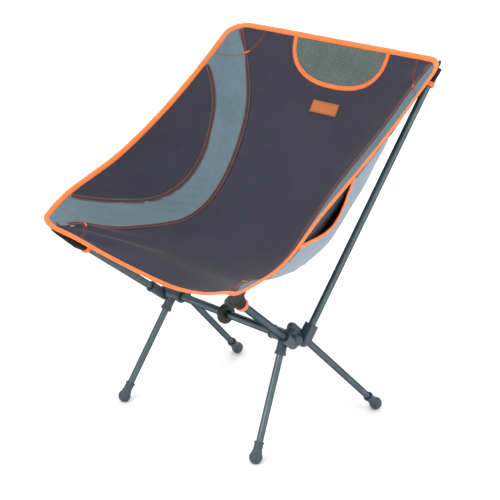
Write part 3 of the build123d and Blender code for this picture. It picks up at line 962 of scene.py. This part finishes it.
@dataclass(frozen=True)
class Sling:
    """Seat and back: sewn cloth panels, their seams, window, binding and corner stitching.

    Gaps are shares of the sling's half width or length, and ends are places
    from front (0) to top (1).
    """

    window: Window = Window()
    edge_gap: float = 0.009
    end_gap: float = 0.004
    grey_ends: tuple[float, float] = (0.012, 0.988)
    wing_ends: tuple[float, float] = (0.2015, 0.8319)
    centre_seam_ends: tuple[float, float] = (0.012, 0.986)
    ribbon_half: tuple[float, float] = (5.0 * MM, 2.1 * MM)
    arc_radius: float = 66 * MM
    arc_rows_apart: float = 3.2 * MM

    def panels(self) -> None:
        """The five stretched panels."""
        def middle(v: np.ndarray) -> np.ndarray:
            """The centre panel's half width: up to its seam, short of the binding."""
            return np.minimum(seam_u(v) - 0.001, SLING.half_width(v) - self.edge_gap)

        def free(p: np.ndarray) -> np.ndarray:
            """Whether points are clear of the mesh window."""
            return ~self.window.inside(p[:, 0], p[:, 2], 0.4 * self.window.tape)

        centre = Panel("seat and back centre panel", lambda v: -middle(v), middle, self.end_gap,
                       1 - self.end_gap, 230, 170, Finish.CHARCOAL, "charcoal_fabric")
        centre.build(["centre_panel"], keep=free, hold=POLE_TIPS)

        def grey_outer(v: np.ndarray) -> np.ndarray:
            """The smooth minimum of the wing's seam and the binding."""
            wing, edge = wing_u(v) - 0.001, SLING.half_width(v) - self.edge_gap
            return -np.log(np.exp(-140 * wing) + np.exp(-140 * edge)) / 140

        for side, word in ((1, "right"), (-1, "left")):
            grey = Panel(f"{word} grey side panel", lambda v: seam_u(v) + 0.001,
                         lambda v: np.maximum(grey_outer(v), seam_u(v) + 0.004), *self.grey_ends, 230, 44,
                         Finish.GREY, "grey_fabric")
            grey.build([f"{word}_side_panel"], side, hold=[n for n in POLE_TIPS if n.startswith(word)])
            wing = Panel(f"{word} charcoal wing panel", lambda v: wing_u(v) + 0.001,
                         lambda v: np.full_like(v, 1 - self.edge_gap), *self.wing_ends, 150, 40,
                         Finish.CHARCOAL, "charcoal_fabric")
            wing.build([f"{word}_wing_panel"], side, hold=[n for n in POLE_TIPS if n.startswith(word)])

    def seams(self) -> None:
        """Felled seams: a folded allowance on the dark side and two rows of stitches on it."""
        for side, word in ((1, "right"), (-1, "left")):
            runs = (("centre", seam_u, self.centre_seam_ends, -1), ("wing", wing_u, self.wing_ends, 1))
            for name, seam, ends, dark in runs:
                v = np.linspace(*ends, 400)
                u = np.minimum(seam(v), SLING.half_width(v) - 0.012)
                base = SLING.track(u, v)
                base = Track(mirrored(base.points, side), mirrored(base.normals, side)).resampled(3 * MM)
                turn = dark * side * self.dark_side(base, side)
                strip = carried(f"{word} {name} seam allowance", base.shifted(turn * 3.8 * MM, -0.75 * MM),
                                oval(4.5 * MM, 0.5 * MM, 12), Finish.ALLOWANCE)
                settle(strip)
                back = carried(f"{word} {name} seam back", base.shifted(turn * 2.0 * MM, 0.75 * MM),
                               oval(3.0 * MM, 0.4 * MM, 12), Finish.ALLOWANCE)
                settle(back)
                rows = [base.shifted(turn * d, -1.4 * MM) for d in (1.3 * MM, 6.8 * MM)]
                rows += [base.shifted(turn * d, 1.3 * MM) for d in (0.8 * MM, 3.6 * MM)]
                settle(SEAM_STITCH.sew(f"{word} {name} seam stitching", rows, Finish.THREAD))

    @staticmethod
    def dark_side(track: Track, side: int) -> int:
        """Whether a shift sideways by a positive distance moves away from the middle line, as 1 or -1."""
        _, across, _ = track.frames()
        return 1 if float(across[:, 0].mean()) * side > 0 else -1

    def edge_track(self, inward: float = 0.0, lift: float = 0.0) -> Track:
        """The closed line of the sling's edge, rounded at its corners.

        Args:
            inward: how far it is moved sideways on the cloth.
            lift: how far it stands off the cloth.

        Returns:
            The line, evenly spaced.
        """
        angle = np.linspace(0, np.pi / 2, 40)[1:-1]
        corner_u = 1 - SLING.corner_u * (1 - np.sin(angle))
        corner_v = SLING.corner_v * (1 - np.cos(angle))
        front_u = np.linspace(SLING.corner_u - 1, 1 - SLING.corner_u, 260)
        side_v = np.linspace(SLING.corner_v, 1 - SLING.corner_v, 420)
        front_v, side_u = np.zeros_like(front_u), np.ones_like(side_v)
        u = np.concatenate([front_u, corner_u, side_u, corner_u[::-1], front_u[::-1], -corner_u,
                            -side_u, -corner_u[::-1]])
        v = np.concatenate([front_v, corner_v, side_v, 1 - corner_v[::-1], 1 + front_v, 1 - corner_v,
                            side_v[::-1], corner_v[::-1]])
        track = SLING.track(u, v, 0.0, True).resampled(3 * MM)
        return track.shifted(inward, lift) if inward or lift else track

    def binding(self) -> None:
        """The orange ribbon folded over the whole edge, its width uneven as sewn ribbon is."""
        track = self.edge_track()
        step = np.arange(len(track.points))
        swell = 1 + 0.035 * np.sin(1.9 * step) + 0.03 * np.sin(0.37 * step) + 0.02 * np.sin(0.11 * step + 1)
        profile = oval(*self.ribbon_half, 18, 0.9)
        ribbon = carried("folded edge ribbon", track, profile, Finish.BINDING, swell)
        settle(ribbon, ["edge_binding"])

    def corner_arcs(self) -> None:
        """The stitched arcs that close each corner pocket, with a bar tack at the middle of each."""
        arcs, tacks = [], []
        angle = np.linspace(0.10, np.pi / 2 - 0.08, 400)
        for side in (1, -1):
            for top in (False, True):
                u = 1 - self.arc_radius * np.cos(angle) / SLING.half_span
                v = self.arc_radius * np.sin(angle) / SLING.edge_length
                v = 1 - v if top else v
                arcs.append(SLING.track(side * u, v, -1.0 * MM))
                arcs.append(SLING.track(side * (u + self.arc_rows_apart / SLING.half_span), v,
                                        -1.0 * MM))
                cross = int(np.argmin(np.abs(u - seam_u(v))))
                bar = slice(cross - 18, cross + 19)
                tacks += [SLING.track(side * (u[bar] + shift), v[bar], -2.0 * MM) for shift in (0.0, 0.006)]
        settle(FINE_STITCH.sew("corner pocket stitching", arcs, Finish.THREAD))
        settle(TACK_STITCH.sew("corner bar tacks", tacks, Finish.BRIGHT_THREAD))

    def build(self) -> None:
        """Build every piece of the sling."""
        self.panels()
        self.seams()
        self.window.knit()
        self.window.ground()
        self.window.bind()
        self.binding()
        self.corner_arcs()


@dataclass(frozen=True)
class Label:
    """The woven label: a small flat strip sewn on the front of the back panel."""

    half_width: float = 31 * MM
    half_height: float = 10 * MM
    height: float = 520 * MM
    thickness: float = 0.8 * MM
    margin: tuple[float, float] = (2.0 * MM, 1.8 * MM)
    flat: tuple[float, float] = (0.0635, 0.0205)

    def build(self) -> None:
        """The strip, and a border of stitches inside its edge."""
        x, z = np.meshgrid(np.linspace(-self.half_width, self.half_width, 32),
                           self.height + np.linspace(-self.half_height, self.half_height, 12))
        u, v = SLING.locate(x, z)
        grid = SLING.at(u, v, -1.6 * MM)
        obj = mesh_object("woven label", grid.reshape(-1, 3), grid_faces(12, 32), Finish.LABEL,
                          cloth_uv(grid).reshape(-1, 2))
        thicken(obj, self.thickness)
        settle(obj, ["back_label"])
        x_end, z_end = self.half_width - self.margin[0], self.half_height - self.margin[1]
        across, up = np.linspace(-x_end, x_end, 40), np.linspace(-z_end, z_end, 12)
        x = np.concatenate([across, np.full(12, x_end), -across, np.full(12, -x_end)])
        z = np.concatenate([np.full(40, -z_end), up, np.full(40, z_end), -up])
        u, v = SLING.locate(x, z + self.height)
        border = SLING.track(u, v, -2.1 * MM, True)
        settle(FINE_STITCH.sew("label stitching", [border], Finish.DARK_THREAD))


@dataclass(frozen=True)
class SidePocket:
    """A gaping pocket outside the wing: sewn along its bottom, bound at its mouth."""

    start: float = 0.15
    end: float = 0.74
    swell: float = 21 * MM
    lift: float = 1.6 * MM

    def low(self, v: np.ndarray) -> np.ndarray:
        """The bottom seam."""
        return seam_u(v) + 0.03

    @staticmethod
    def gape(a: np.ndarray) -> np.ndarray:
        """How far the mouth is open along the pocket: a lobe of sine from 0 at its ends to 1."""
        return np.sin(np.pi * np.clip((a - 0.235) / 0.445, 0, 1))

    def high(self, v: np.ndarray) -> np.ndarray:
        """The upper edge: sewn under the binding, and dropped between the mouth's ends."""
        a = (v - self.start) / (self.end - self.start)
        return 0.985 - 0.075 * self.gape(a) ** 1.3

    def offset(self, a: np.ndarray, b: np.ndarray) -> np.ndarray:
        """How far the cloth stands off: swollen in its middle, sewn at its edges, with soft wrinkles.

        Args:
            a: place along the pocket, from 0 at the front to 1.
            b: place from the bottom seam (0) to the mouth (1).

        Returns:
            The distance off the sling, in metres.
        """
        top = 1 - (0.97 - 0.62 * self.gape(a)) * b ** 4
        body = np.sin(np.pi * a) ** 0.8 * np.sin(np.pi * np.minimum(b * 0.62, 0.5)) * top
        folds = 1.3 * MM * np.sin(TAU * (3.1 * a + 1.4 * b)) * hump(b, 0.45, 0.35) * np.sin(np.pi * a)
        folds += 0.9 * MM * np.sin(TAU * (7.0 * a - 2.0 * b)) * hump(b, 0.2, 0.2) * np.sin(np.pi * a)
        return self.lift + self.swell * body + folds

    def track(self, b: float, first: float, last: float, side: int, extra: float = 0.0) -> Track:
        """A line along the pocket at one height.

        Args:
            b: height on the pocket.
            first: where it starts along the pocket.
            last: where it ends.
            side: 1 for the +X side, -1 for the other.
            extra: how far it stands off the pocket's cloth.

        Returns:
            The line, evenly spaced.
        """
        a = np.linspace(first, last, 160)
        v = self.start + (self.end - self.start) * a
        u = self.low(v) + (self.high(v) - self.low(v)) * b
        points = SLING.at(u, v, self.offset(a, np.full_like(a, b)) + extra)
        return Track(mirrored(points, side), mirrored(SLING.normal(u, v), side)).resampled(3 * MM)

    def build(self) -> None:
        """Both pockets."""
        for side, word in ((1, "right"), (-1, "left")):
            panel = Panel(f"{word} hanging side pocket", self.low, self.high, self.start, self.end, 150, 50,
                          Finish.POCKET, "grey_fabric")
            a, b = np.linspace(0, 1, 150)[:, None], np.linspace(0, 1, 50)[None, :]
            panel.build([f"{word}_side_pocket"], side, self.offset(a, b),
                        hold=[f"{word}_charcoal_wing_panel"])
            mouth = self.track(1.0, 0.215, 0.70, side)
            ribbon = carried(f"{word} side pocket binding", mouth, oval(3.4 * MM, 1.7 * MM), Finish.BINDING)
            settle(ribbon, [f"{word}_side_pocket_tape"])
            hem = [self.track(0.012, 0.01, 0.99, side, 0.9 * MM)]
            settle(FINE_STITCH.sew(f"{word} side pocket stitching", hem, Finish.DARK_THREAD))


@dataclass(frozen=True)
class PoleSleeve:
    """A corner pocket: a cloth sleeve over a pole's tip that flattens into the sling's corner.

    Rings run up the pole, widening along the cloth, then on to the corner,
    where they flatten against it. Each ring is centre + cosine * wide +
    sine * deep. The mouth is bound.
    """

    name: str
    mouth: tuple[float, float, float]
    tip: tuple[float, float, float]
    pole_radius: float
    length: float
    corner: tuple[float, float]
    sides: int = 32
    gap: float = 2.1
    overrun: float = 2.0
    flat_half: tuple[float, float] = (17 * MM, 1.1 * MM)

    def axes(self, side: int) -> tuple[np.ndarray, ...]:
        """Where the sleeve runs.

        Args:
            side: 1 for the +X side, -1 for the other.

        Returns:
            The pole's tip, its direction, the corner's place and the cloth's normal there.
        """
        y = np.array([0, SLING.bar_y, 0])
        tip = np.array(self.tip) * MM * [side, 1, 1] + y
        axis = unit(tip - np.array(self.mouth) * MM * [side, 1, 1] - y)
        u, v = self.corner
        corner = SLING.at(u, v, 2.2 * MM) * [side, 1, 1]
        deep = SLING.normal(u, v) * [side, 1, 1]
        return tip, axis, corner, deep

    def build(self, side: int, word: str) -> None:
        """Make the sleeve and its bound mouth.

        Args:
            side: 1 for the +X side, -1 for the other.
            word: the side's name.
        """
        tip, axis, corner, deep = self.axes(side)
        over = unit(corner - tip)
        radius = (self.pole_radius + self.gap) * MM
        angle = np.arange(self.sides) * TAU / self.sides
        up, on = np.linspace(0, 1, 24)[:, None], np.linspace(0, 1, 19)[1:, None]
        start = tip - axis * self.length * MM
        inner = start + axis * np.array([[14.0], [6.0], [0.3]]) * MM
        centre = np.vstack([inner, start + axis * up * (self.length + self.overrun) * MM,
                            tip + axis * self.overrun * MM * (1 - on) + (corner - tip) * on])
        lean = smooth(np.concatenate([np.zeros((3, 1)), 0 * up, on * 1.4]))
        path = unit(axis * (1 - lean) + over * lean)
        one = unit(np.cross(deep, path))
        two = unit(np.cross(path, one))
        flare = 0.12 * (1 - up) ** 3
        wide = np.vstack([np.full((3, 1), radius * 0.98), radius * (1 + flare + 0.9 * smooth(up)),
                          radius * 1.9 + (self.flat_half[0] - radius * 1.9) * on])
        high = np.vstack([np.full((3, 1), radius * 0.98), radius * (1 + flare),
                          radius + (self.flat_half[1] - radius) * on])
        reach = np.concatenate([[0], np.cumsum(np.linalg.norm(np.diff(centre, axis=0), axis=-1))])
        crease = 1 + 0.03 * np.sin(5 * angle)[None] * np.sin(reach * 260)[:, None]
        grid = (centre[:, None] + (np.cos(angle) * crease)[..., None] * (one * wide)[:, None]
                + (np.sin(angle) * crease)[..., None] * (two * high)[:, None])
        points, faces = grid.reshape(-1, 3), grid_faces(len(centre), self.sides, wrap_columns=True)
        faces = outward(points, faces)
        last = np.arange(self.sides) + (len(centre) - 1) * self.sides
        uv = np.stack(np.broadcast_arrays(angle[None] * radius, reach[:, None]), axis=-1).reshape(-1, 2)
        forward = faces[0, 0] + 1 == faces[0, 1]
        obj = mesh_object(f"{word} {self.name} pole sleeve", points, faces, Finish.BLACK, uv,
                          [last if forward else last[::-1]])
        settle(obj, [f"{word}_{self.name}_corner_pocket"])
        turn = np.linspace(0, TAU, 49)[:-1]
        spin = np.cos(turn)[:, None] * one[:1] + np.sin(turn)[:, None] * two[:1]
        circle = Track(start + axis * 3.5 * MM + spin * radius * 1.13, spin, True)
        band = carried(f"{word} {self.name} sleeve binding", circle, oval(4.4 * MM, 1.2 * MM), Finish.BINDING)
        settle(band, [f"{word}_{self.name}_pocket_tape"])


SLEEVES = (
    PoleSleeve("front", (166.8, -29, 209.4), (196.3, -173.0, 326.3), 6.75, 30.0, (0.925, 0.024)),
    PoleSleeve("top", (167.8, 39.9, 212), (217.4, 287.1, 621.2), 6.25, 31.0, (0.945, 0.975)),
)


# ---------------------------------------------------------------- frame's looks
class PoleFrame:
    """Tubes, hubs, feet, collar and cords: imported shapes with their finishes."""

    # The first of these words that a node's name holds says its finish.
    finishes: ClassVar[dict[str, Finish]] = {
        "hub": Finish.NYLON, "foot": Finish.NYLON, "crossbar_collar": Finish.RUBBER, "shock_cord": Finish.CORD,
        "cap": Finish.BLACK_NYLON, "plug": Finish.BLACK_NYLON, "ferrule": Finish.FERRULE, "leg": Finish.TUBE,
        "pole": Finish.TUBE, "crossbar": Finish.TUBE,
    }

    def dress(self) -> None:
        """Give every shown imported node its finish, by the first word that its name holds."""
        for name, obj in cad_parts.items():
            finish = next((f for word, f in self.finishes.items() if word in name), None)
            if finish is None:
                continue
            material = PALETTE.get(finish)
            if not obj.material_slots:
                obj.data.materials.append(material)
            for slot in obj.material_slots:
                slot.material = material
            LOG.info("finish of %s: %s", name, material.name)


# ----------------------------------------------------------------------- stage
@dataclass(frozen=True)
class Studio:
    """A pale floor, soft light and the camera."""

    camera_place: tuple[float, float, float] = (1.6575, -1.6615, 1.145)
    camera_target: tuple[float, float, float] = (0.0131, -0.0015, 0.3049)
    lens: float = 102.1
    sensor: float = 36.0
    half_floor: float = 6.0
    # Each lamp's name, place, size in metres and power in watts.
    lamps: tuple = (("key lamp", (0.3, -2.6, 2.6), 2.2, 62.0),
                    ("fill lamp", (2.8, 0.4, 1.6), 2.0, 22.0),
                    ("back lamp", (-1.6, 2.2, 2.4), 2.0, 26.0))

    def floor(self) -> None:
        """A wide plain floor."""
        half = self.half_floor
        corners = np.array([[-half, -half, 0], [half, -half, 0], [half, half, 0], [-half, half, 0]])
        mesh = bpy.data.meshes.new("studio floor")
        mesh.from_pydata(corners.tolist(), [], [[0, 1, 2, 3]])
        mat = bpy.data.materials.new("matt white floor")
        mat.use_nodes = True
        shader = mat.node_tree.nodes["Principled BSDF"]
        shader.inputs["Base Color"].default_value = linear("#fdfdfd")
        shader.inputs["Roughness"].default_value = 0.9
        mesh.materials.append(mat)
        obj = bpy.data.objects.new("studio floor", mesh)
        bpy.context.scene.collection.objects.link(obj)

    def lamp(self, name: str, place: Sequence[float], size: float, power: float) -> None:
        """A square soft lamp aimed at the chair's middle.

        Args:
            name: the lamp's name.
            place: where it stands.
            size: the length of its side.
            power: its watts.
        """
        light = bpy.data.lights.new(name, "AREA")
        light.size = size
        light.energy = power
        obj = bpy.data.objects.new(name, light)
        obj.location = place
        obj.rotation_euler = (Vector((0, 0, 0.35)) - Vector(place)).to_track_quat("-Z", "Y").to_euler()
        bpy.context.scene.collection.objects.link(obj)

    def camera(self) -> None:
        """A long lens at the fitted place, aimed at the chair's middle."""
        place, target = Vector(self.camera_place), Vector(self.camera_target)
        data = bpy.data.cameras.new("camera")
        data.lens = self.lens
        data.sensor_width = self.sensor
        obj = bpy.data.objects.new("camera", data)
        obj.location = place
        obj.rotation_euler = (target - place).to_track_quat("-Z", "Y").to_euler()
        bpy.context.scene.collection.objects.link(obj)
        bpy.context.scene.camera = obj

    def sky(self) -> None:
        """An even white surround, and colours shown as they are."""
        world = bpy.data.worlds.new("studio")
        world.use_nodes = True
        background = world.node_tree.nodes["Background"]
        background.inputs["Color"].default_value = (1, 1, 1, 1)
        background.inputs["Strength"].default_value = 1.0
        bpy.context.scene.world = world
        bpy.context.scene.view_settings.view_transform = "Standard"

    def build(self) -> None:
        """Set everything up."""
        self.camera()
        self.floor()
        for lamp in self.lamps:
            self.lamp(*lamp)
        self.sky()


def main() -> None:
    """Build the chair's looks and the studio."""
    logging.basicConfig(level=logging.INFO, format="%(name)s: %(message)s")
    PoleFrame().dress()
    Sling().build()
    Label().build()
    SidePocket().build()
    for sleeve in SLEEVES:
        for side, word in ((1, "right"), (-1, "left")):
            sleeve.build(side, word)
    Studio().build()


if __name__ == "__main__":
    main()
